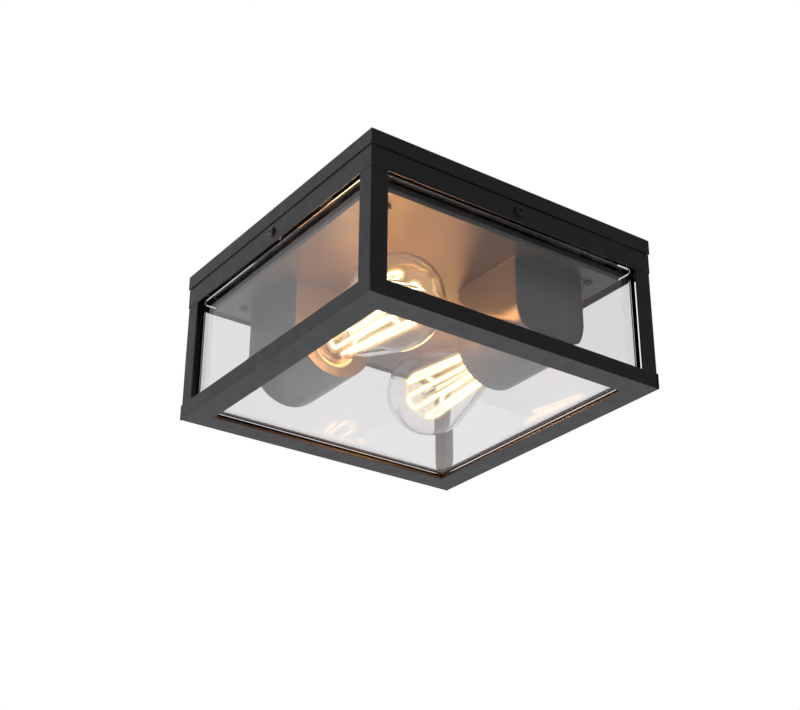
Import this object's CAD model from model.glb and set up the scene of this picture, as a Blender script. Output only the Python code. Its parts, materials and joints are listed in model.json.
"""Looks of the porch ceiling lantern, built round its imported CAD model.

Sizes in the fields of the classes are millimetres, apart from the studio's, and meshes
are in metres in the frame of the CAD: the origin is the middle of the ceiling face, +Z
is up, -Y is the front and +X is the right.
"""

import json
import logging
import math
from collections.abc import Callable, Iterable, Sequence
from dataclasses import dataclass
from enum import Enum

import bmesh
import bpy
from mathutils import Matrix, Vector

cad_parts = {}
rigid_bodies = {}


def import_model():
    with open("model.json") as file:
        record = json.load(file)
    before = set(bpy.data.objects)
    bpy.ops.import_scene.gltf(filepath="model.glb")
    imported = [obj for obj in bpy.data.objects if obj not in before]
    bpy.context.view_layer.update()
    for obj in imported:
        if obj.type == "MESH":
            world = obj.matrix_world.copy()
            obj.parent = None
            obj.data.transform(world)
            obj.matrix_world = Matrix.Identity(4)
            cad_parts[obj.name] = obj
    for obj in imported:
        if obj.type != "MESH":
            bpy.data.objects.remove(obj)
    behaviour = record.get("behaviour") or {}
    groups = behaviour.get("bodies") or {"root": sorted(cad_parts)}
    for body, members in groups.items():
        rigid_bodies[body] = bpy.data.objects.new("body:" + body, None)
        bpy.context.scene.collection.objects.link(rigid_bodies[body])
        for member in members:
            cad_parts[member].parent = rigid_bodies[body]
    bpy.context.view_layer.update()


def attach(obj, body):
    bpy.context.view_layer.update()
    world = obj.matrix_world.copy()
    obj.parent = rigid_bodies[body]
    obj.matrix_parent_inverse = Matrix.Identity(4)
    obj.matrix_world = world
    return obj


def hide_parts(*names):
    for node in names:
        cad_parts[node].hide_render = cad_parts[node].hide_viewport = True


MM = 0.001
LOG = logging.getLogger("lantern")

Colour = tuple[float, float, float]
Place = tuple[float, float, float]
Point = tuple[float, float]
Socket = bpy.types.NodeSocket
Mesh = bmesh.types.BMesh
Edge = bmesh.types.BMEdge
PAINTED: dict[str, bpy.types.Material] = {}

# Points closer than these distances in metres are one point.
NEAR = 1e-6
TIGHT = 1e-7
# Edges that turn by more than this angle in radians are sharp.
SHARP = 0.5


class Axis(Enum):
    """The axis that an outline is pulled along."""

    X = 0
    Z = 2


class Body(Enum):
    """The moving bodies of the lantern."""

    CEILING = "ceiling_part"
    CAGE = "cage"
    SEAT_1 = "lamp_1_seat"
    SEAT_2 = "lamp_2_seat"
    LAMP_1 = "lamp_1"
    LAMP_2 = "lamp_2"


# ---- Materials ----


class Brush:
    """Builds the nodes of a material or the world, node by node."""

    def __init__(self, owner: bpy.types.Material | bpy.types.World, output: str = "OutputMaterial") -> None:
        """Starts with no nodes but the output and the coordinates.

        Args:
            owner: The new material or world.
            output: The type of its output node.
        """
        owner.use_nodes = True
        self.owner = owner
        self.tree = owner.node_tree
        self.tree.nodes.clear()
        self.output = self.add(output)
        self.coordinates = self.add("TexCoord").outputs
        self.place = self.coordinates["Object"]

    def add(self, kind: str, sockets: dict | None = None, **settings: object) -> bpy.types.Node:
        """Adds a shader node.

        Args:
            kind: The node's type, without its ShaderNode prefix.
            sockets: Values or other nodes' outputs for its inputs.
            **settings: Properties of the node.

        Returns:
            The new node.
        """
        node = self.tree.nodes.new("ShaderNode" + kind)
        for key, value in settings.items():
            setattr(node, key, value)
        for key, value in (sockets or {}).items():
            if isinstance(value, Socket):
                self.tree.links.new(value, node.inputs[key])
            else:
                node.inputs[key].default_value = value
        return node

    def noise(self, size: float, detail: float = 3.0, stretch: Place = (1, 1, 1)) -> Socket:
        """A noise pattern on the object's own coordinates.

        Args:
            size: The size of its grains in millimetres.
            detail: How many finer layers it has.
            stretch: How much longer the grains are along each axis.

        Returns:
            The pattern's value, from 0 to 1.
        """
        scale = tuple(1 / s for s in stretch)
        mapped = self.add("Mapping", {"Vector": self.place, "Scale": scale}).outputs[0]
        sockets = {"Vector": mapped, "Scale": 1 / (size * MM), "Detail": detail}
        return self.add("TexNoise", sockets).outputs["Fac"]

    def spread(self, value: Socket, low: float, high: float, start: float = 0.3, end: float = 0.7,
               kind: str = "LINEAR") -> Socket:
        """Maps a range, which is a pattern's middle one unless it is given, onto another.

        Args:
            value: What is mapped.
            low: What the range's start becomes.
            high: What its end becomes.
            start: The start of the range.
            end: Its end.
            kind: The way from start to end, LINEAR or SMOOTHSTEP.

        Returns:
            The mapped value, which stays between low and high.
        """
        sockets = {"Value": value, "From Min": start, "From Max": end, "To Min": low, "To Max": high}
        return self.add("MapRange", sockets, interpolation_type=kind).outputs[0]

    def blend(self, factor: object, first: object, second: object) -> Socket:
        """Mixes two colours by a factor."""
        return self.add("Mix", {0: factor, 6: opaque(first), 7: opaque(second)}, data_type="RGBA").outputs[2]

    def vary(self, pattern: Socket, colour: Colour, low: float, high: float) -> Socket:
        """Varies a colour between a darker and a lighter shade of it, by a pattern."""
        return self.blend(self.spread(pattern, 0, 1), shade(colour, low), shade(colour, high))

    def reckon(self, operation: str, first: Socket | float, second: Socket | float) -> Socket:
        """Works out a sum that is kept between 0 and 1."""
        return self.add("Math", {0: first, 1: second}, operation=operation, use_clamp=True).outputs[0]

    def bump(self, height: Socket, depth: float) -> Socket:
        """Turns a pattern into relief, with its depth in millimetres."""
        return self.add("Bump", {"Height": height, "Distance": depth * MM, "Strength": 1.0}).outputs[0]

    def finish(self, shader: bpy.types.Node) -> bpy.types.Material | bpy.types.World:
        """Joins the shader to the output and gives the material or world."""
        self.tree.links.new(shader.outputs[0], self.output.inputs["Surface"])
        return self.owner


def opaque(colour: object) -> object:
    """Gives a colour its fourth number, and leaves a socket as it is."""
    return (*colour, 1.0) if isinstance(colour, tuple) and len(colour) == 3 else colour


def shade(colour: Colour, factor: float) -> Colour:
    """A lighter or darker version of a colour."""
    return tuple(min(1.0, c * factor) for c in colour)


@dataclass(frozen=True)
class Finish:
    """What every finish has: a name and a colour."""

    name: str
    colour: Colour

    def paint(self) -> bpy.types.Material:
        """Builds the material."""
        raise NotImplementedError

    def material(self) -> bpy.types.Material:
        """The finish's material, built when it is first asked for."""
        if self.name not in PAINTED:
            PAINTED[self.name] = self.paint()
        return PAINTED[self.name]


@dataclass(frozen=True)
class PowderCoat(Finish):
    """Sprayed powder coat: fine orange-peel relief, with faint mottling."""

    roughness: float = 0.5
    grain: float = 0.55
    relief: float = 0.035
    mottle: float = 0.12
    cloud: float = 26.0
    patch: float = 9.0
    shine: float = 0.5

    def paint(self) -> bpy.types.Material:
        """Builds the material."""
        brush = Brush(bpy.data.materials.new(self.name))
        colour = brush.vary(brush.noise(self.cloud, 4), self.colour, 1 - self.mottle, 1 + self.mottle)
        rough = brush.spread(brush.noise(self.patch, 5), self.roughness - 0.05, self.roughness + 0.07)
        return brush.finish(brush.add("BsdfPrincipled", {
            "Base Color": colour, "Roughness": rough, "Specular IOR Level": self.shine,
            "Normal": brush.bump(brush.noise(self.grain, 2), self.relief),
        }))


@dataclass(frozen=True)
class PlatedMetal(Finish):
    """Plated or bare metal with fine rolling lines and a patchy shine."""

    roughness: float = 0.34
    lines: Place = (14, 1, 1)
    line_w: float = 0.25
    relief: float = 0.006
    patch: float = 3.0

    def paint(self) -> bpy.types.Material:
        """Builds the material."""
        brush = Brush(bpy.data.materials.new(self.name))
        lines = brush.noise(self.line_w, 2, self.lines)
        colour = brush.vary(brush.noise(self.patch, 3), self.colour, 0.82, 1.08)
        rough = brush.spread(lines, self.roughness - 0.08, self.roughness + 0.1)
        return brush.finish(brush.add("BsdfPrincipled", {
            "Base Color": colour, "Metallic": 1.0, "Roughness": rough,
            "Normal": brush.bump(lines, self.relief),
        }))


@dataclass(frozen=True)
class Moulded(Finish):
    """Moulded plastic or rubber with a fine skin."""

    roughness: float = 0.5
    skin: float = 0.3
    relief: float = 0.015
    cloud: float = 8.0
    patch: float = 2.5

    def paint(self) -> bpy.types.Material:
        """Builds the material."""
        brush = Brush(bpy.data.materials.new(self.name))
        colour = brush.vary(brush.noise(self.cloud, 3), self.colour, 0.88, 1.1)
        rough = brush.spread(brush.noise(self.patch, 4), self.roughness - 0.06, self.roughness + 0.08)
        return brush.finish(brush.add("BsdfPrincipled", {
            "Base Color": colour, "Roughness": rough,
            "Normal": brush.bump(brush.noise(self.skin, 2), self.relief),
        }))


@dataclass(frozen=True)
class Glaze(Finish):
    """Glazed ceramic: a clear coat over a body with tiny specks."""

    speck: Colour = (0.45, 0.36, 0.26)
    speck_w: float = 0.5
    cloud: float = 7.0
    wave: float = 5.0
    relief: float = 0.02

    def paint(self) -> bpy.types.Material:
        """Builds the material."""
        brush = Brush(bpy.data.materials.new(self.name))
        specks = brush.spread(brush.noise(self.speck_w, 1), 0, 1, 0.74, 0.8)
        body = brush.vary(brush.noise(self.cloud, 3), self.colour, 0.93, 1.04)
        return brush.finish(brush.add("BsdfPrincipled", {
            "Base Color": brush.blend(specks, body, self.speck), "Roughness": 0.42,
            "Coat Weight": 0.8, "Coat Roughness": 0.06,
            "Normal": brush.bump(brush.noise(self.wave, 2), self.relief),
        }))


@dataclass(frozen=True)
class ClearGlass(Finish):
    """Clear glass that lets the light of the lamps through, with slight waves."""

    wave: float = 30.0
    relief: float = 0.03
    ior: float = 1.5

    def paint(self) -> bpy.types.Material:
        """Builds the material."""
        brush = Brush(bpy.data.materials.new(self.name))
        waves = brush.bump(brush.noise(self.wave, 1), self.relief)
        glass = brush.add("BsdfPrincipled", {
            "Base Color": opaque(self.colour), "Roughness": 0.0, "IOR": self.ior,
            "Transmission Weight": 1.0, "Normal": waves,
        })
        light = brush.add("BsdfTransparent", {"Color": opaque(shade(self.colour, 0.97))})
        ray = brush.add("LightPath").outputs["Is Shadow Ray"]
        return brush.finish(brush.add("MixShader", {0: ray, 1: glass.outputs[0], 2: light.outputs[0]}))


@dataclass(frozen=True)
class GlowingWire(Finish):
    """Carbon wire at full heat. Its cooler patches and its mirrored views are redder."""

    strength: float = 22.0
    redder: Colour = (1.0, 0.52, 0.17)
    cooling: float = 0.1
    patch: float = 3.0

    def paint(self) -> bpy.types.Material:
        """Builds the material."""
        brush = Brush(bpy.data.materials.new(self.name))
        pattern = brush.noise(self.patch, 2)
        rays = brush.add("LightPath").outputs
        lost = brush.reckon("MULTIPLY", rays["Is Transmission Ray"], rays["Diffuse Depth"])
        heat = brush.spread(pattern, self.strength * 0.85, self.strength * 1.1)
        shown = brush.reckon("SUBTRACT", 1.0, lost)
        heat = brush.add("Math", {0: heat, 1: shown}, operation="MULTIPLY").outputs[0]
        red = brush.reckon("ADD", brush.spread(pattern, self.cooling, 0), rays["Glossy Depth"])
        brush.owner.cycles.emission_sampling = "NONE"
        return brush.finish(brush.add("BsdfPrincipled", {
            "Base Color": opaque(shade(self.colour, 0.3)), "Roughness": 0.6,
            "Emission Color": brush.blend(red, self.colour, self.redder), "Emission Strength": heat,
        }))


@dataclass(frozen=True)
class Glow(Finish):
    """The soft glow close round a hot wire."""

    strength: float = 1.2
    cover: float = 0.4
    patch: float = 2.0

    def paint(self) -> bpy.types.Material:
        """Builds the material."""
        brush = Brush(bpy.data.materials.new(self.name))
        light = brush.add("Emission", {"Color": opaque(self.colour), "Strength": self.strength})
        clear = brush.add("BsdfTransparent")
        cover = brush.spread(brush.noise(self.patch, 2), self.cover * 0.85, self.cover * 1.15)
        return brush.finish(brush.add("MixShader", {0: cover, 1: clear.outputs[0], 2: light.outputs[0]}))


@dataclass(frozen=True)
class Sleeve(Finish):
    """The sleeve of a lead, with stripes of a second colour along it."""

    stripe: Colour = (0.03, 0.03, 0.03)
    bands: float = 230.0
    skin: float = 1.5
    relief: float = 0.02

    def paint(self) -> bpy.types.Material:
        """Builds the material."""
        brush = Brush(bpy.data.materials.new(self.name))
        bands = brush.add("TexWave", {"Vector": brush.place, "Scale": self.bands, "Distortion": 1.5},
                          bands_direction="DIAGONAL").outputs["Fac"]
        share = brush.spread(bands, 0, 1, 0.48, 0.52)
        return brush.finish(brush.add("BsdfPrincipled", {
            "Base Color": brush.blend(share, self.colour, self.stripe), "Roughness": 0.4,
            "Normal": brush.bump(brush.noise(self.skin, 2), self.relief),
        }))


@dataclass(frozen=True)
class PaleGround(Finish):
    """The pale floor of the studio, which fades out far from the lantern."""

    reach: float = 1600.0
    cloud: float = 300.0

    def paint(self) -> bpy.types.Material:
        """Builds the material."""
        brush = Brush(bpy.data.materials.new(self.name))
        colour = brush.vary(brush.noise(self.cloud, 2), self.colour, 0.985, 1)
        ground = brush.add("BsdfPrincipled", {"Base Color": colour, "Roughness": 0.9})
        level = brush.add("Mapping", {"Vector": brush.place, "Scale": (1, 1, 0)}).outputs[0]
        far = brush.add("VectorMath", {0: level}, operation="LENGTH").outputs["Value"]
        fade = brush.spread(far, 0, 1, self.reach * 0.5 * MM, self.reach * MM)
        clear = brush.add("BsdfTransparent")
        return brush.finish(brush.add("MixShader", {0: fade, 1: ground.outputs[0], 2: clear.outputs[0]}))


BLACK_COAT = PowderCoat("black_powder_coat", (0.020, 0.020, 0.022))
GREY_COAT = PowderCoat("dark_grey_coat", (0.046, 0.045, 0.046), roughness=0.36, grain=0.4,
                       relief=0.02, shine=0.9)
PLATE_COAT = PowderCoat("dark_plate_coat", (0.030, 0.025, 0.022), roughness=0.36, grain=0.4,
                        relief=0.02, shine=0.6)
BLACK_SCREW = PowderCoat("black_oxide", (0.022, 0.022, 0.022), roughness=0.32, grain=0.2, relief=0.01)
ZINC = PlatedMetal("zinc_plate", (0.55, 0.56, 0.58))
SCREW_STEEL = PlatedMetal("bright_screw_steel", (0.62, 0.62, 0.63), roughness=0.28, patch=1.2)
BRASS = PlatedMetal("bare_brass", (0.72, 0.50, 0.20), roughness=0.3, patch=2.0)
CAP_METAL = PlatedMetal("nickelled_brass", (0.76, 0.64, 0.40), roughness=0.26, lines=(1, 6, 6), patch=2.0)
SOLDER = PlatedMetal("tin_solder", (0.60, 0.60, 0.60), roughness=0.36, lines=(1, 1, 1), patch=0.8)
RUBBER = Moulded("black_rubber", (0.018, 0.018, 0.018), roughness=0.72)
NYLON = Moulded("white_nylon", (0.74, 0.72, 0.66), roughness=0.42, skin=0.8)
BLACK_GLASS = Moulded("black_glass", (0.012, 0.010, 0.014), roughness=0.14, skin=2.0, relief=0.01)
LEAD_SLEEVE = Moulded("silicone_sleeve", (0.020, 0.020, 0.021), roughness=0.46, skin=0.6)
EARTH_SLEEVE = Sleeve("striped_sleeve", (0.10, 0.36, 0.03), stripe=(0.75, 0.62, 0.02))
PORCELAIN = Glaze("glazed_porcelain", (0.80, 0.72, 0.60))
BOX_GLASS = ClearGlass("pressed_glass", (0.90, 0.895, 0.90))
BULB_GLASS = ClearGlass("blown_glass", (0.985, 0.98, 0.97), wave=16.0, relief=0.01)
STEM_GLASS = ClearGlass("drawn_glass", (0.95, 0.95, 0.94), wave=4.0, relief=0.02)
HOT_WIRE = GlowingWire("hot_wire", (1.0, 0.86, 0.62))
INNER_GLOW = Glow("inner_glow", (1.0, 0.74, 0.30), strength=2.2, cover=0.6)
OUTER_GLOW = Glow("outer_glow", (1.0, 0.66, 0.26), strength=1.5, cover=0.16)
PALE_GROUND = PaleGround("pale_ground", (0.90, 0.90, 0.90))


# ---- Shapes ----


def prism(outline: Sequence[Point], low: float, high: float, axis: Axis = Axis.Z) -> Mesh:
    """A solid that is drawn as an outline and pulled along an axis.

    Args:
        outline: The corners, as (x, y) for a pull along Z and (y, z) for one along X.
        low: Where it starts on the axis.
        high: Where it ends.
        axis: The axis of the pull.

    Returns:
        The closed solid.
    """
    shape = bmesh.new()
    if axis is Axis.Z:
        corners = [shape.verts.new((u * MM, v * MM, low * MM)) for u, v in outline]
        pull = Vector((0, 0, (high - low) * MM))
    else:
        corners = [shape.verts.new((low * MM, u * MM, v * MM)) for u, v in outline]
        pull = Vector(((high - low) * MM, 0, 0))
    pull_face(shape, shape.faces.new(corners), pull)
    return shape


def corners_of(made: Iterable[object]) -> list[bmesh.types.BMVert]:
    """The vertices among what an operator has made."""
    return [v for v in made if isinstance(v, bmesh.types.BMVert)]


def upright(edge: Edge) -> bool:
    """Whether an edge rises by more than a centimetre."""
    return abs(edge.verts[0].co.z - edge.verts[1].co.z) > 10 * MM


def pull_face(shape: Mesh, face: bmesh.types.BMFace, pull: Vector) -> None:
    """Pulls a lone face into a closed solid.

    Args:
        shape: The mesh that holds the face.
        face: The face, which stays as the solid's first end.
        pull: How far and which way its copy goes.
    """
    pulled = bmesh.ops.extrude_face_region(shape, geom=[face])["geom"]
    bmesh.ops.translate(shape, verts=corners_of(pulled), vec=pull)
    bmesh.ops.recalc_face_normals(shape, faces=shape.faces)


def soften(shape: Mesh, width: float, segments: int = 2,
           pick: Callable[[Edge], bool] = lambda edge: True) -> None:
    """Rounds the sharp edges of a shape.

    Args:
        shape: The mesh.
        width: The width of the rounding in millimetres.
        segments: How many steps it has.
        pick: Says which sharp edges are rounded.
    """
    edges = [e for e in shape.edges if e.is_manifold and e.calc_face_angle(0) > SHARP and pick(e)]
    bmesh.ops.bevel(shape, geom=edges, offset=width * MM, segments=segments, profile=0.5,
                    affect="EDGES", material=-1, clamp_overlap=True)


def arc(s: float, r: float, radius: float, start: float, end: float, steps: int) -> list[Point]:
    """Points on a rounding of a profile.

    Args:
        s: Centre of the rounding along the axis.
        r: Distance of that centre from the axis.
        radius: Radius of the rounding.
        start: First angle in degrees, from the axis.
        end: Last angle.
        steps: Number of steps between them.

    Returns:
        The points, as (place along the axis, distance from it).
    """
    angles = [math.radians(start + (end - start) * i / steps) for i in range(steps + 1)]
    return [(s + radius * math.cos(a), r + radius * math.sin(a)) for a in angles]


def turned(profile: Sequence[Point], steps: int = 96, closed: bool = False) -> Mesh:
    """A shape turned round the X axis.

    Args:
        profile: Points as (place along the axis, distance from it).
        steps: Number of steps round the axis.
        closed: Whether the last point joins the first, as in a ring.

    Returns:
        The turned mesh.
    """
    shape = bmesh.new()
    points = [shape.verts.new((s * MM, 0, r * MM)) for s, r in profile]
    pairs = list(zip(points, points[1:])) + ([(points[-1], points[0])] if closed else [])
    edges = [shape.edges.new(pair) for pair in pairs if max(pair[0].co.z, pair[1].co.z) > TIGHT]
    bmesh.ops.spin(shape, geom=points + edges, cent=(0, 0, 0), axis=(1, 0, 0),
                   angle=math.tau, steps=steps, use_merge=True)
    bmesh.ops.remove_doubles(shape, verts=shape.verts, dist=TIGHT)
    bmesh.ops.recalc_face_normals(shape, faces=shape.faces)
    return shape


def walled(profile: Sequence[Point], wall: float) -> list[Point]:
    """Gives a profile that ends on the axis an inner wall.

    Args:
        profile: The outer points, the last one on the axis.
        wall: The thickness.

    Returns:
        The outer points and then the inner ones, back to the start.
    """
    inner = []
    last = len(profile) - 1
    for i, (s, r) in enumerate(profile):
        before, after = profile[max(i - 1, 0)], profile[min(i + 1, last)]
        along = Vector((after[0] - before[0], after[1] - before[1])).normalized()
        inner.append((s + along.y * wall, max(r - along.x * wall, 0.0)))
    inner[-1] = (profile[-1][0] - wall, 0.0)
    return [*profile, *reversed(inner)]


def rod(shape: Mesh, start: Vector, end: Vector, radius: float, segments: int = 10) -> None:
    """Adds a straight wire to a shape.

    Args:
        shape: The mesh that it goes into.
        start: One end, in millimetres.
        end: The other end.
        radius: Its radius in millimetres.
        segments: Number of sides.
    """
    along = end - start
    turn = along.to_track_quat("Z", "Y").to_matrix().to_4x4()
    place = Matrix.Translation((start + end) / 2 * MM) @ turn
    bmesh.ops.create_cone(shape, cap_ends=True, segments=segments, radius1=radius * MM,
                          radius2=radius * MM, depth=along.length * MM, matrix=place)


def rounded_path(points: Sequence[Vector], cut: float, steps: int = 6) -> list[Vector]:
    """A path of straight runs whose corners are rounded.

    Args:
        points: The corners of the path.
        cut: How far before and after a corner its rounding starts and ends.
        steps: Number of steps in a rounding.

    Returns:
        The points of the rounded path.
    """
    path = [points[0]]
    for before, corner, after in zip(points, points[1:], points[2:]):
        reach = min(cut, (corner - before).length / 2, (after - corner).length / 2)
        a = corner + (before - corner).normalized() * reach
        b = corner + (after - corner).normalized() * reach
        for i in range(steps + 1):
            t = i / steps
            path.append(a * (1 - t) ** 2 + corner * 2 * t * (1 - t) + b * t * t)
    return [*path, points[-1]]


def tube(path: Sequence[Vector], radius: float, sides: int = 3) -> Mesh:
    """A round wire along a path.

    Args:
        path: The points of its middle line, in millimetres.
        radius: Its radius in millimetres.
        sides: The curve's bevel resolution.

    Returns:
        The closed tube.
    """
    line = bpy.data.curves.new("line", "CURVE")
    line.dimensions = "3D"
    line.bevel_depth = radius * MM
    line.bevel_resolution = sides
    line.use_fill_caps = True
    spline = line.splines.new("POLY")
    spline.points.add(len(path) - 1)
    for point, place in zip(spline.points, path):
        point.co = (*(place * MM), 1.0)
    holder = bpy.data.objects.new("line", line)
    mesh = bpy.data.meshes.new_from_object(holder)
    shape = bmesh.new()
    shape.from_mesh(mesh)
    bpy.data.objects.remove(holder)
    bpy.data.meshes.remove(mesh)
    bpy.data.curves.remove(line)
    return shape


def join(shape: Mesh, *others: Mesh, slot: int | None = None) -> Mesh:
    """Adds other shapes to a shape.

    Args:
        shape: The mesh that the others go into.
        *others: The other meshes, which are used up.
        slot: The material slot that their faces take.

    Returns:
        The first mesh.
    """
    for other in others:
        if slot is not None:
            for face in other.faces:
                face.material_index = slot
        part = bpy.data.meshes.new("part")
        other.to_mesh(part)
        other.free()
        shape.from_mesh(part)
        bpy.data.meshes.remove(part)
    return shape


def turn(shape: Mesh, degrees: float, axis: str = "Z") -> Mesh:
    """Turns a shape about an axis through the origin, the lantern's upright middle line if none is given."""
    about = Matrix.Rotation(math.radians(degrees), 3, axis)
    bmesh.ops.rotate(shape, verts=shape.verts, cent=(0, 0, 0), matrix=about)
    return shape


def move(shape: Mesh, x: float, y: float, z: float) -> Mesh:
    """Moves a shape by millimetres."""
    bmesh.ops.translate(shape, verts=shape.verts, vec=Vector((x, y, z)) * MM)
    return shape


def carved(shape: Mesh, cutter: Mesh) -> Mesh:
    """Cuts one closed shape out of another.

    Args:
        shape: The mesh that is cut.
        cutter: The mesh that is taken away.

    Returns:
        The mesh that is left.
    """
    objects = []
    for source in (shape, cutter):
        mesh = bpy.data.meshes.new("carving")
        source.to_mesh(mesh)
        source.free()
        objects.append(bpy.data.objects.new("carving", mesh))
        bpy.context.scene.collection.objects.link(objects[-1])
    knife = objects[0].modifiers.new("knife", "BOOLEAN")
    knife.operation, knife.solver, knife.object = "DIFFERENCE", "EXACT", objects[1]
    bpy.context.view_layer.update()
    done = bpy.data.meshes.new_from_object(objects[0].evaluated_get(bpy.context.evaluated_depsgraph_get()))
    left = bmesh.new()
    left.from_mesh(done)
    for holder in objects:
        mesh = holder.data
        bpy.data.objects.remove(holder)
        bpy.data.meshes.remove(mesh)
    bpy.data.meshes.remove(done)
    return left


@dataclass(frozen=True)
class Rest:
    """Where a finished piece belongs: its body, its finishes and the nodes it stands for."""

    body: Body
    finishes: tuple[Finish, ...]
    slot: str
    nodes: tuple[str, ...] = ()


def piece(name: str, shape: Mesh, rest: Rest, crease: float = 35.0) -> bpy.types.Object:
    """Turns a finished shape into a piece of the lantern.

    Args:
        name: The piece's name.
        shape: Its mesh, which is used up.
        rest: Where it belongs.
        crease: Edges sharper than this angle in degrees stay crisp.

    Returns:
        The piece's object, at the origin.
    """
    mesh = bpy.data.meshes.new(name)
    shape.to_mesh(mesh)
    shape.free()
    for finish in rest.finishes:
        mesh.materials.append(finish.material())
    mesh.shade_smooth()
    mesh.set_sharp_from_angle(angle=math.radians(crease))
    made = bpy.data.objects.new(name, mesh)
    bpy.context.scene.collection.objects.link(made)
    level = made.modifiers.new("level_faces", "WEIGHTED_NORMAL")
    level.keep_sharp = True
    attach(made, rest.body.value)
    if rest.nodes:
        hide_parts(*rest.nodes)
    LOG.info("piece %s: %d faces", name, len(mesh.polygons))
    return made


def dress(nodes: Iterable[str], finish: Finish) -> None:
    """Gives carried-over CAD nodes their finish.

    Args:
        nodes: The names of the nodes.
        finish: Their finish.
    """
    for node in nodes:
        shown = bpy.data.objects[node]
        shown.data.materials.clear()
        shown.data.materials.append(finish.material())
        LOG.info("node %s: %s", node, finish.name)


# ---- Sub-assemblies ----


@dataclass
class CeilingPart:
    """The tray under the ceiling and what is fixed to it."""

    def build(self) -> None:
        """Dresses the tray, brackets, wiring and lamp plate."""
        dress(["ceiling_tray"], BLACK_COAT)
        dress(["lamp_plate"], PLATE_COAT)
        dress(["side_brackets"], ZINC)
        dress(["entry_grommet", "plate_grommets"], RUBBER)
        dress(["terminal_block"], NYLON)
        dress(["terminal_screws", "standoffs"], SCREW_STEEL)
        dress(["earth_stud", "earth_nut"], BRASS)
        dress(["earth_lead"], EARTH_SLEEVE)


@dataclass
class CageFrame:
    """The folded steel cage: band, corner posts and bottom rails."""

    half: float = 120.0
    sheet: float = 1.2
    band_top: float = 13.3
    band_low: float = 28.4
    post_inset: float = 0.4
    post_w: float = 13.0
    rail_top: float = 107.0
    low: float = 118.5
    flange_w: float = 18.0
    lap: float = 0.6
    edge: float = 0.3

    def build(self) -> None:
        """Builds the twelve strips of the cage."""
        sides = ("front", "right", "back", "left")
        corners = ("front_left", "front_right", "back_right", "back_left")
        for k, (side, corner) in enumerate(zip(sides, corners)):
            self.strip(f"{side}_band", self.band(), k, f"band_{side}")
            self.strip(f"{corner}_angle", self.post(), k, f"post_{corner}")
            reach = self.half + self.lap if k % 2 == 0 else self.half - self.sheet
            self.strip(f"{side}_rail", self.rail(reach), k, f"rail_{side}")

    def strip(self, name: str, shape: Mesh, side: int, node: str) -> None:
        """Turns a strip to its side and makes it a piece."""
        piece(name, turn(shape, 90 * side), Rest(Body.CAGE, (BLACK_COAT,), "black_steel", (node,)))

    def band(self) -> Mesh:
        """One side of the top band, mitred at both ends."""
        out, inner = self.half, self.half - self.sheet
        shape = prism([(-out, -out), (out, -out), (inner, -inner), (-inner, -inner)],
                      -self.band_low, -self.band_top)
        soften(shape, self.edge)
        return shape

    def post(self) -> Mesh:
        """One corner post, an angle of folded steel."""
        a = -self.half + self.post_inset
        b, c = a + self.sheet, a + self.post_w
        shape = prism([(a, a), (c, a), (c, b), (b, b), (b, c), (a, c)], -self.rail_top, -self.band_low)
        soften(shape, self.edge + 0.1, 3, upright)
        return shape

    def rail(self, reach: float) -> Mesh:
        """One bottom rail: an upright leg and a mitred flange under the glass.

        Args:
            reach: Half the length of the leg.

        Returns:
            The rail's mesh.
        """
        out, inner, tip = self.half, self.half - self.sheet, self.half - self.flange_w
        low, high = -self.low, -self.rail_top
        leg = prism([(-out, low), (-inner, low), (-inner, high), (-out, high)], -reach, reach, Axis.X)
        soften(leg, self.edge, 2, lambda edge: not all(
            abs(v.co.y + inner * MM) < NEAR and v.co.z < low * MM + NEAR for v in edge.verts))
        flange = prism([(-inner, -inner), (inner, -inner), (tip, -tip), (-tip, -tip)], low, low + self.sheet)
        soften(flange, self.edge, 2, lambda edge: all(abs(v.co.y + tip * MM) < NEAR for v in edge.verts))
        return join(leg, flange)


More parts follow.
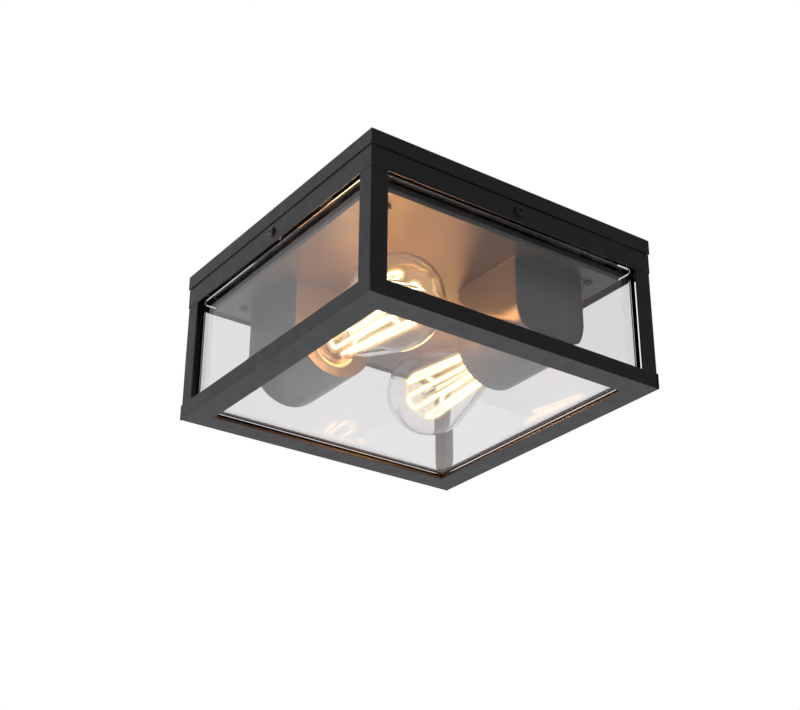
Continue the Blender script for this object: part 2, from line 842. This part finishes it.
@dataclass
class GlassBox:
    """The one-piece pressed glass box with thick walls."""

    half: float = 114.4
    corner: float = 8.0
    rim: float = 26.24
    low: float = 115.8
    wall: float = 5.0
    floor_t: float = 5.0
    foot_round: float = 3.0
    inner_round: float = 12.0
    inner_steps: int = 12
    rim_round: float = 0.5

    def build(self) -> None:
        """Builds the glass and dresses what holds it."""
        piece("glass_shade", self.shell(), Rest(Body.CAGE, (BOX_GLASS,), "box_glass", ("glass_box",)), 50.0)
        dress(["glass_seal", "clip_pads"], RUBBER)
        dress(["glass_clips"], ZINC)
        dress(["side_nuts"], SCREW_STEEL)

    def shell(self) -> Mesh:
        """The glass itself, from a block that is hollowed from its top face.

        Returns:
            The closed mesh.
        """
        h = self.half
        shape = prism([(-h, -h), (h, -h), (h, h), (-h, h)], -self.low, -self.rim)
        soften(shape, self.corner, 10, upright)
        foot = -self.low * MM + NEAR
        soften(shape, self.foot_round, 4, lambda edge: all(v.co.z < foot for v in edge.verts))
        top = max(shape.faces, key=lambda face: face.calc_center_median().z)
        bmesh.ops.inset_region(shape, faces=[top], thickness=self.wall * MM, use_even_offset=True)
        bore, deep = h - self.wall, -self.low + self.floor_t
        steps = []
        for i in range(self.inner_steps + 1):
            a = math.radians(90 * i / self.inner_steps)
            inward, upward = self.inner_round * (1 - math.cos(a)), self.inner_round * (1 - math.sin(a))
            steps.append((bore - inward, deep + upward))
        wide, high = bore, -self.rim
        for half, level in steps:
            pulled = bmesh.ops.extrude_discrete_faces(shape, faces=[top])
            top = pulled["faces"][0]
            ring = list(top.verts)
            bmesh.ops.translate(shape, verts=ring, vec=(0, 0, (level - high) * MM))
            bmesh.ops.scale(shape, verts=ring, vec=(half / wide, half / wide, 1))
            wide, high = half, level
        bmesh.ops.remove_doubles(shape, verts=shape.verts, dist=NEAR)
        rim = -self.rim * MM - NEAR
        soften(shape, self.rim_round, 3, lambda edge: all(v.co.z > rim for v in edge.verts))
        return shape


@dataclass
class Screws:
    """Black pan-head screws with a cross recess."""

    half: float = 120.0
    side_z: float = 20.0
    plate_at: float = 87.7
    plate_z: float = 33.0
    shank_r: float = 2.0
    side_l: float = 6.9
    plate_l: float = 14.0
    head_r: float = 3.5
    head_h: float = 2.2
    slot_w: float = 0.72
    slot_l: float = 3.5
    slot_h: float = 1.1
    side_turns: tuple[int, ...] = (23, 54, 85, 116)
    plate_turns: tuple[int, ...] = (17, 57, 97, 137)

    def build(self) -> None:
        """Builds the side screws and the plate screws, and dresses the small ones."""
        sides = bmesh.new()
        plates = bmesh.new()
        for k, (side_turn, plate_turn) in enumerate(zip(self.side_turns, self.plate_turns)):
            screw = turn(turn(self.screw(self.side_l), 90), side_turn, "Y")
            join(sides, turn(move(screw, 0, -self.half, -self.side_z), 90 * k))
            screw = turn(turn(self.screw(self.plate_l), -90, "Y"), plate_turn)
            join(plates, turn(move(screw, -self.plate_at, -self.plate_at, -self.plate_z), 90 * k))
        for name, shape, body in (("side", sides, Body.CAGE), ("plate", plates, Body.CEILING)):
            piece(f"{name}_pan_screws", shape, Rest(body, (BLACK_SCREW,), "black_screw", (f"{name}_screws",)))
        dress(["housing_screws", "holder_screws"], SCREW_STEEL)

    def screw(self, length: float) -> Mesh:
        """One screw along X: its shank ahead of x = 0 and its domed head behind.

        Args:
            length: The length of the shank.

        Returns:
            The screw's mesh.
        """
        r, h = self.head_r, self.head_h
        head = [(-h, 0.0), (-h, r * 0.42), (-h + 0.08, r * 0.62), (-h + 0.28, r * 0.8), (-h + 0.65, r * 0.94),
                (-h + 1.15, r), (-0.2, r), (0.0, r - 0.2), (0.0, self.shank_r), (length - 0.5, self.shank_r),
                (length, self.shank_r - 0.5), (length, 0.0)]
        solid = turned(head, 40)
        w, l = self.slot_w / 2, self.slot_l / 2
        for side in (0, 90):
            blade = prism([(-w, -l), (w, -l), (w, l), (-w, l)], -h - 1, -h + self.slot_h, Axis.X)
            solid = carved(solid, turn(blade, side, "X"))
        return solid


@dataclass
class LampPlace:
    """Where a lamp and its holder lie. Lamp 1 points along +X, and lamp 2 the other way."""

    number: int
    lamp_y: float = 51.3
    lamp_z: float = 73.5

    @property
    def lamp_body(self) -> Body:
        """The body that turns with the lamp."""
        return Body.LAMP_1 if self.number == 1 else Body.LAMP_2

    @property
    def seat_body(self) -> Body:
        """The body that moves along with the lamp without turning."""
        return Body.SEAT_1 if self.number == 1 else Body.SEAT_2

    def put(self, shape: Mesh, along: float = 0.0, depth: float | None = None) -> Mesh:
        """Moves a shape from its own axis to the lamp's axis.

        Args:
            shape: The mesh, drawn along the X axis.
            along: Where its zero goes along the lamp's axis.
            depth: Its height below the ceiling, where that isn't the lamp's.

        Returns:
            The same mesh.
        """
        move(shape, along, -self.lamp_y, -self.lamp_z if depth is None else -depth)
        return turn(shape, 180 * (self.number - 1))


@dataclass
class Housing:
    """The arched housing round a lampholder."""

    place: LampPlace
    back: float = 88.0
    mouth: float = 23.5
    radius: float = 30.5
    arch_z: float = 67.5
    top: float = 33.0
    sheet: float = 1.5
    foot_out: float = 1.0
    foot_h: float = 0.8
    foot_round: float = 0.15
    nose_round: float = 1.3
    mouth_round: float = 0.3

    def build(self) -> None:
        """Builds the housing and dresses its end plate."""
        k = self.place.number
        shape = self.place.put(join(self.barrel(), *self.foot()), depth=self.arch_z)
        piece(f"arched_housing_{k}", shape,
              Rest(Body.CEILING, (GREY_COAT,), "plate_steel", (f"housing_{k}",)), 40.0)
        dress([f"holder_plate_{k}"], GREY_COAT)

    def barrel(self) -> Mesh:
        """The arch, closed at its back and open at its mouth and top.

        Returns:
            The mesh, with the middle of its round bottom on the X axis.
        """
        shape = bmesh.new()
        bmesh.ops.create_circle(shape, cap_ends=True, radius=self.radius * MM, segments=96)
        cut_across(turn(shape, 90, "Y"), 0.0, (0, 0, 1))
        bmesh.ops.remove_doubles(shape, verts=shape.verts, dist=NEAR)
        rim = [e for e in shape.edges if all(abs(v.co.z) < NEAR for v in e.verts)]
        risen = bmesh.ops.extrude_edge_only(shape, edges=rim)["geom"]
        up = Vector((0, 0, (self.arch_z - self.top) * MM))
        bmesh.ops.translate(shape, verts=corners_of(risen), vec=up)
        bmesh.ops.dissolve_edges(shape, edges=rim, use_verts=False)
        move(shape, -self.back, 0, 0)
        pull_face(shape, shape.faces[:][0], Vector(((self.back - self.mouth) * MM, 0, 0)))
        back, top = -self.back * MM + NEAR, up.z - NEAR
        soften(shape, self.nose_round, 4, lambda edge: all(v.co.x < back for v in edge.verts)
               and not all(v.co.z > top for v in edge.verts))
        gone = [f for f in shape.faces if f.normal.x > 0.9 or f.normal.z > 0.9]
        bmesh.ops.delete(shape, geom=gone, context="FACES")
        bmesh.ops.solidify(shape, geom=shape.faces[:], thickness=self.sheet * MM)
        mouth = -self.mouth * MM - NEAR
        soften(shape, self.mouth_round, 2, lambda edge: all(v.co.x > mouth for v in edge.verts))
        return shape

    def foot(self) -> list[Mesh]:
        """The narrow flange along the housing's two sides and back, seen as a thin line.

        Returns:
            Its three strips.
        """
        high = self.arch_z - self.top
        low = high - self.foot_h
        r, out = self.radius, self.radius + self.foot_out
        a, b = -self.back - self.foot_out, -self.mouth
        outlines = (
            [(a, -out), (b, -out), (b, -r), (a, -r)],
            [(a, r), (b, r), (b, out), (a, out)],
            [(a, -r), (a + self.foot_out, -r), (a + self.foot_out, r), (a, r)],
        )
        strips = [prism(outline, low, high) for outline in outlines]
        for strip in strips:
            soften(strip, self.foot_round, 1)
        return strips


@dataclass
class LampHolder:
    """The porcelain lampholder with its thread shell."""

    place: LampPlace
    mouth: float = -24.0
    body: float = -35.5
    back: float = -68.5
    boss: float = -72.5
    nose_r: float = 17.0
    body_r: float = 20.0
    boss_r: float = 10.0
    shell_r: float = 13.5
    shell_from: float = -57.3
    shell_to: float = -33.3
    cavity: float = -64.6
    cavity_r: float = 7.0
    wire_hole_r: float = 2.05
    seat_r: float = 14.1
    entry_r: float = 14.9
    edge: float = 1.5
    pitch: float = 3.62

    def build(self) -> None:
        """Builds the holder and its shell, and dresses the metal inside."""
        k = self.place.number
        piece(f"porcelain_holder_{k}", self.place.put(turned(self.profile(), 112, closed=True)),
              Rest(Body.CEILING, (PORCELAIN,), "porcelain", (f"lampholder_{k}",)), 40.0)
        piece(f"threaded_shell_{k}", self.place.put(self.shell()),
              Rest(Body.CEILING, (CAP_METAL,), "cap_metal", (f"thread_shell_{k}",)), 60.0)
        dress([f"holder_bracket_{k}"], ZINC)
        dress([f"lead_{k}"], LEAD_SLEEVE)

    def profile(self) -> list[Point]:
        """The holder's section: boss, body, grooved nose with a rolled lip, and bore.

        Returns:
            The points of the closed section.
        """
        m, n, e = self.mouth, self.nose_r, self.edge
        outer = [(self.boss, self.wire_hole_r), (self.boss, self.boss_r - 0.4),
                 (self.boss + 0.4, self.boss_r), (self.back, self.boss_r),
                 *arc(self.back + e, self.body_r - e, e, 180, 90, 5),
                 *arc(self.body - e, self.body_r - e, e, 90, 0, 5), (self.body, n),
                 (m - 7.2, n), (m - 6.9, n - 0.5), (m - 6.1, n - 0.5), (m - 5.8, n)]
        lip = [*arc(m - 1.1, n - 1.1, 1.1, 90, 0, 6), *arc(m - 0.7, 15.6, 0.7, 0, -90, 4)]
        bore = [(self.shell_to, self.entry_r), (self.shell_to, self.seat_r),
                (self.shell_from - 0.1, self.seat_r), (self.shell_from - 0.1, self.cavity_r),
                (self.cavity, self.cavity_r), (self.cavity, self.wire_hole_r)]
        return [*outer, *lip, *bore]

    def shell(self) -> Mesh:
        """The rolled thread shell, a wave swept in a screw line.

        Returns:
            The shell's mesh.
        """
        low, high = self.shell_from, self.shell_to
        shape = thread(low - self.pitch, high + self.pitch, self.shell_r + 0.12, 0.1, self.pitch)
        return rolled(shape, low, high)


def thread(start: float, end: float, radius: float, depth: float, pitch: float) -> Mesh:
    """A round thread: one wave of it swept along a screw line round the X axis.

    Args:
        start: Where it starts along the axis.
        end: Where it ends.
        radius: Its mean radius.
        depth: How far its crests and roots lie from that.
        pitch: The length of one turn.

    Returns:
        The open surface of the thread.
    """
    shape = bmesh.new()
    waves, steps = 10, 64
    turns = math.ceil((end - start) / pitch)
    places = [i / waves for i in range(waves + 1)]
    points = [shape.verts.new(((start + pitch * t) * MM, 0, (radius + depth * math.cos(math.tau * t)) * MM))
              for t in places]
    edges = [shape.edges.new(pair) for pair in zip(points, points[1:])]
    bmesh.ops.spin(shape, geom=points + edges, cent=(0, 0, 0), axis=(1, 0, 0),
                   dvec=(pitch * MM / steps, 0, 0), angle=math.tau * turns, steps=steps * turns)
    bmesh.ops.remove_doubles(shape, verts=shape.verts, dist=NEAR)
    return shape


def cut_across(shape: Mesh, level: float, away: Place) -> None:
    """Cuts a shape square to an axis.

    Args:
        shape: The mesh.
        level: Where the cut meets the X axis, in millimetres.
        away: The direction, from the cut, of what is taken away.
    """
    bmesh.ops.bisect_plane(shape, geom=[*shape.verts, *shape.edges, *shape.faces],
                           plane_co=(level * MM, 0, 0), plane_no=away, clear_outer=True)


def rolled(shape: Mesh, low: float, high: float, sheet: float = 0.25) -> Mesh:
    """Trims a thread to its length and gives it the thickness of rolled sheet.

    Args:
        shape: The thread's open surface.
        low: Where it starts along the X axis.
        high: Where it ends.
        sheet: The thickness in millimetres.

    Returns:
        The closed mesh.
    """
    cut_across(shape, low, (-1, 0, 0))
    cut_across(shape, high, (1, 0, 0))
    bmesh.ops.recalc_face_normals(shape, faces=shape.faces)
    bmesh.ops.solidify(shape, geom=shape.faces[:], thickness=sheet * MM)
    return shape


@dataclass
class Lamp:
    """A teardrop lamp with a squirrel-cage filament, drawn from the tip of its cap."""

    place: LampPlace
    tip: float = -59.5
    ball_s: float = 110.0
    ball_r: float = 32.0
    cone: float = 16.0
    neck_r: float = 14.0
    neck_bend: float = 40.0
    wall: float = 0.9
    tail_r: float = 11.7
    cap_r: float = 13.2
    pitch: float = 3.62
    legs: int = 10
    low_s: float = 46.0
    high_s: float = 116.0
    low_r: float = 11.0
    high_r: float = 17.5
    wire_r: float = 0.8
    wire_bend: float = 5.2
    inner_glow: float = 2.3
    outer_glow: float = 4.2
    support_r: float = 0.2
    support_foot: float = 2.2
    lead_in_r: float = 0.3
    lead_in_foot: Point = (36.5, 2.4)

    def build(self) -> None:
        """Builds the glass, stem, filament, cap and base."""
        k, lamp, seat = self.place.number, self.place.lamp_body, self.place.seat_body
        glass = turned(walled(self.outline(), self.wall), 128, closed=True)
        self.add(f"teardrop_glass_{k}", glass,
                 Rest(lamp, (BULB_GLASS,), "bulb_glass", (f"bulb_glass_{k}",)), 40.0)
        self.add(f"glass_stem_{k}", self.stem(),
                 Rest(lamp, (STEM_GLASS, SCREW_STEEL), "stem_glass", (f"bulb_stem_{k}",)), 40.0)
        self.add(f"squirrel_cage_{k}", self.filament(),
                 Rest(lamp, (HOT_WIRE, INNER_GLOW, OUTER_GLOW), "filament", (f"filament_{k}",)), 60.0)
        self.add(f"screw_cap_{k}", self.cap(),
                 Rest(lamp, (CAP_METAL,), "cap_metal", (f"bulb_cap_{k}",)), 50.0)
        self.add(f"cap_insulator_{k}", self.base(),
                 Rest(seat, (BLACK_GLASS, SOLDER), "insulator", (f"cap_base_{k}",)), 50.0)

    def add(self, name: str, shape: Mesh, rest: Rest, crease: float) -> None:
        """Moves a part of the lamp to its place and makes it a piece."""
        piece(name, self.place.put(shape, self.tip), rest, crease)

    def outline(self) -> list[Point]:
        """The outer line of the glass, from its tail in the cap to its round end.

        Returns:
            The points, the last one on the axis.
        """
        tilt = math.radians(self.cone)
        s, r = self.ball_s - self.ball_r * math.sin(tilt), self.ball_r * math.cos(tilt)
        meet = s - (r - self.neck_r) / math.tan(tilt)
        bend = meet - self.neck_bend * math.tan(tilt / 2)
        neck = arc(bend, self.neck_r + self.neck_bend, self.neck_bend, -90, -90 + self.cone, 8)
        ball = arc(self.ball_s, 0, self.ball_r, 90 + self.cone, 0, 44)
        ball[-1] = (ball[-1][0], 0.0)
        tail = [(18, self.tail_r), (22, self.tail_r), (26.2, self.tail_r + 0.1), (27.4, self.neck_r - 1.4)]
        collar = [(28.3, self.neck_r - 0.5), (29.4, self.neck_r - 0.08), (30.6, self.neck_r)]
        from_s, from_r = neck[-1]
        cone = [(from_s + (s - from_s) * t, from_r + (r - from_r) * t) for t in (0.25, 0.5, 0.75)]
        return [*tail, *collar, *neck, *cone, *ball]

    def stem(self) -> Mesh:
        """The glass stem with its flare, beads, support wires and lead-in wires.

        Returns:
            The stem's mesh.
        """
        line = [(20, 0), (20, 10.5), (20.8, 10.6), (22.5, 8.2), (25, 5.6), (28, 4.6), (34, 4.4), (36.5, 3.8),
                (39, 2.3), (41, 1.5), (43.8, 1.4)]
        for s in (self.low_s, self.high_s):
            line += [(s - 1.6, 1.4), *arc(s, 1.0, 1.4, 160, 20, 5), (s + 1.6, 1.4)]
        shape = turned([*line, (118.6, 1.4), (119.6, 0.9), (120, 0)], 40)
        metal = bmesh.new()
        corners = self.corners()
        for corner in corners:
            foot = Vector((corner.x, *(corner.yz.normalized() * self.support_foot)))
            rod(metal, foot, corner, self.support_r, 8)
        s, r = self.lead_in_foot
        for corner in (corners[0], corners[-1]):
            rod(metal, Vector((s, *(corner.yz.normalized() * r))), corner, self.lead_in_r, 8)
        return join(shape, metal, slot=1)

    def corners(self) -> list[Vector]:
        """The bends of the filament, from end to end, in millimetres."""
        found = []
        for leg in range(self.legs):
            a = math.tau * leg / self.legs
            ends = [(self.low_s, self.low_r), (self.high_s, self.high_r)]
            for s, r in (ends if leg % 2 == 0 else reversed(ends)):
                found.append(Vector((s, -r * math.sin(a), -r * math.cos(a))))
        return found

    def filament(self) -> Mesh:
        """The squirrel cage of hot wire with the glow close round it.

        Returns:
            The filament's mesh, in three material slots.
        """
        path = rounded_path(self.corners(), self.wire_bend)
        wire = tube(path, self.wire_r)
        join(wire, tube(path, self.wire_r * self.inner_glow), slot=1)
        return join(wire, tube(path, self.wire_r * self.outer_glow), slot=2)

    def cap(self) -> Mesh:
        """The screw cap: a rolled thread between its rim and its skirt.

        Returns:
            The cap's mesh.
        """
        root = self.cap_r - 0.8
        shape = rolled(thread(2.5, 25.0, self.cap_r - 0.42, 0.4, self.pitch), 7.0, 22.0)
        rim = turned([(7.4, root - 0.3), (6.4, root - 0.5), (6.0, root - 1.2), (6.1, root - 1.6),
                      (6.6, root - 1.0), (7.6, root - 0.7)], closed=True)
        skirt = turned([(20.6, root - 0.2), (21.0, root + 0.5), (21.5, self.cap_r), (26.4, self.cap_r),
                        (27.0, self.cap_r - 0.25), (27.0, self.cap_r - 0.9), (26.4, root - 0.3),
                        (21.2, root - 0.4)], closed=True)
        return join(shape, rim, skirt)

    def base(self) -> Mesh:
        """The black insulator with its solder contact.

        Returns:
            The base's mesh, in two material slots.
        """
        cone = turned([(1.4, 0), (1.4, 4.8), (1.7, 5.4), (5.2, 11.2), (5.9, 11.6), (6.0, 11.0), (6.0, 0)], 64)
        dot = turned([(1.6, 0), (1.6, 4.6), (1.1, 4.5), (0.5, 3.6), (0.15, 2.2), (0.0, 0)], 40)
        return join(cone, dot, slot=1)


# ---- Studio ----


@dataclass
class Studio:
    """The camera at the photograph's place, soft lamps, a white background and a floor.

    Its sizes are in metres, apart from those of the bulbs' lights, which are millimetres.
    """

    eye: Place = (0.76486, -0.55542, -0.54299)
    back: Place = (0.73193, -0.52006, -0.44025)
    roll: float = 0.2866
    aim_z: float = -0.06
    lens: float = 66.546
    floor_z: float = -2.4
    floor_r: float = 1.7
    bright_side: Place = (-0.95, -0.1, -0.3)
    dim: float = 0.14
    bright: float = 0.75
    side_width: float = 0.9
    room_colour: Colour = (0.96, 0.98, 1.0)
    gloss: float = 0.08
    mirror_loss: float = 0.35
    bulb_power: float = 1.9
    bulb_colour: Colour = (1.0, 0.42, 0.13)
    bulb_size: float = 12.0
    bulb_x: float = 27.0
    unlit: bpy.types.Collection | None = None

    def build(self) -> None:
        """Sets up the camera, lamps, background and floor."""
        self.camera()
        self.background()
        self.floor()
        self.lamp("key_lamp", (-0.75, -1.65, -1.15), size=1.3, power=15.0, colour=(1.0, 0.99, 0.99))
        self.lamp("low_lamp", (-0.35, 0.35, -1.95), size=1.2, power=10.0, colour=(0.97, 0.98, 1.0))
        bpy.context.scene.view_settings.view_transform = "Standard"
        cycles = bpy.context.scene.cycles
        cycles.max_bounces = 28
        cycles.transmission_bounces = 24
        cycles.transparent_max_bounces = 48

    def light_bulbs(self) -> None:
        """Lights both lamps. Clear glass shows the wires themselves, not these lights."""
        self.unlit = bpy.data.collections.new("clear_glass")
        for shown in bpy.context.scene.objects:
            if shown.type == "MESH" and {"shade", "teardrop", "stem", "cage"} & set(shown.name.split("_")):
                self.unlit.objects.link(shown)
        for link in self.unlit.collection_objects:
            link.light_linking.link_state = "EXCLUDE"
        for number in (1, 2):
            self.bulb_light(LampPlace(number))

    def camera(self) -> None:
        """Places the camera as it was solved from the photograph."""
        back = Vector(self.back).normalized()
        level = Vector((0, 0, 1)).cross(back).normalized()
        rise = back.cross(level)
        a = math.radians(self.roll)
        right = level * math.cos(a) + rise * math.sin(a)
        lens = bpy.data.cameras.new("camera")
        lens.lens, lens.sensor_width, lens.clip_start = self.lens, 36.0, 0.01
        eye = bpy.data.objects.new("camera", lens)
        turn = Matrix((right, back.cross(right), back)).transposed().to_4x4()
        eye.matrix_world = Matrix.Translation(self.eye) @ turn
        bpy.context.scene.collection.objects.link(eye)
        bpy.context.scene.camera = eye

    def background(self) -> None:
        """Makes the world white to the camera and through glass, and softer as a light."""
        world = bpy.data.worlds.new("white_room")
        bpy.context.scene.world = world
        brush = Brush(world, "OutputWorld")
        rays = brush.add("LightPath").outputs
        mirrored = brush.reckon("MULTIPLY", rays["Glossy Depth"], self.mirror_loss)
        bounced = brush.reckon("ADD", rays["Diffuse Depth"], mirrored)
        straight = brush.reckon("SUBTRACT", rays["Is Transmission Ray"], bounced)
        lost = brush.reckon("MULTIPLY", rays["Is Transmission Ray"], rays["Diffuse Depth"])
        gloss = brush.reckon("MULTIPLY", rays["Is Glossy Ray"], self.gloss)
        seen = brush.reckon("ADD", brush.reckon("ADD", rays["Is Camera Ray"], straight), gloss)
        sides = {0: brush.coordinates["Generated"], 1: Vector(self.bright_side).normalized()}
        along = brush.add("VectorMath", sides, operation="DOT_PRODUCT").outputs["Value"]
        level = brush.spread(along, self.dim, self.bright, -self.side_width, self.side_width, "SMOOTHSTEP")
        strength = brush.reckon("MULTIPLY", level, brush.reckon("SUBTRACT", 1.0, lost))
        room = brush.add("Background", {"Color": opaque(self.room_colour), "Strength": strength})
        white = brush.add("Background", {"Color": (1.0, 1.0, 1.0, 1.0)})
        brush.finish(brush.add("MixShader", {0: seen, 1: room.outputs[0], 2: white.outputs[0]}))

    def floor(self) -> None:
        """Lays the pale floor far below the lantern."""
        shape = bmesh.new()
        bmesh.ops.create_circle(shape, cap_ends=True, radius=self.floor_r, segments=96)
        mesh = bpy.data.meshes.new("floor")
        shape.to_mesh(mesh)
        shape.free()
        mesh.transform(Matrix.Translation((0, 0, self.floor_z)))
        mesh.materials.append(PALE_GROUND.material())
        ground = bpy.data.objects.new("floor", mesh)
        bpy.context.scene.collection.objects.link(ground)

    def lamp(self, name: str, place: Place, size: float, power: float, colour: Colour) -> None:
        """Hangs a soft square lamp that points at the lantern.

        Args:
            name: The lamp's name.
            place: Where it hangs, in metres.
            size: The length of its sides in metres.
            power: Its power in watts.
            colour: The colour of its light.
        """
        light = bpy.data.lights.new(name, "AREA")
        light.size, light.energy, light.color = size, power, colour
        holder = bpy.data.objects.new(name, light)
        aim = Vector((0, 0, self.aim_z)) - Vector(place)
        holder.rotation_euler = aim.to_track_quat("-Z", "Y").to_euler()
        holder.location = place
        holder.visible_camera = False
        holder.visible_transmission = False
        bpy.context.scene.collection.objects.link(holder)

    def bulb_light(self, place: LampPlace) -> None:
        """Puts the warm light of a burning lamp at its filament."""
        light = bpy.data.lights.new(f"bulb_light_{place.number}", "POINT")
        light.energy, light.color = self.bulb_power, self.bulb_colour
        light.shadow_soft_size = self.bulb_size * MM
        holder = bpy.data.objects.new(light.name, light)
        holder.light_linking.receiver_collection = self.unlit
        sign = 1 if place.number == 1 else -1
        holder.location = Vector((self.bulb_x * sign, -place.lamp_y * sign, -place.lamp_z)) * MM
        holder.visible_camera = holder.visible_transmission = False
        bpy.context.scene.collection.objects.link(holder)


def main() -> None:
    """Builds the lantern's looks on the frame."""
    logging.basicConfig(level=logging.INFO, format="%(name)s %(message)s")
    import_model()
    studio = Studio()
    studio.build()
    CeilingPart().build()
    CageFrame().build()
    GlassBox().build()
    Screws().build()
    for number in (1, 2):
        place = LampPlace(number)
        Housing(place).build()
        LampHolder(place).build()
        Lamp(place).build()
    dress(["centre_contacts"], BRASS)
    studio.light_bulbs()


if __name__ == "__main__":
    main()
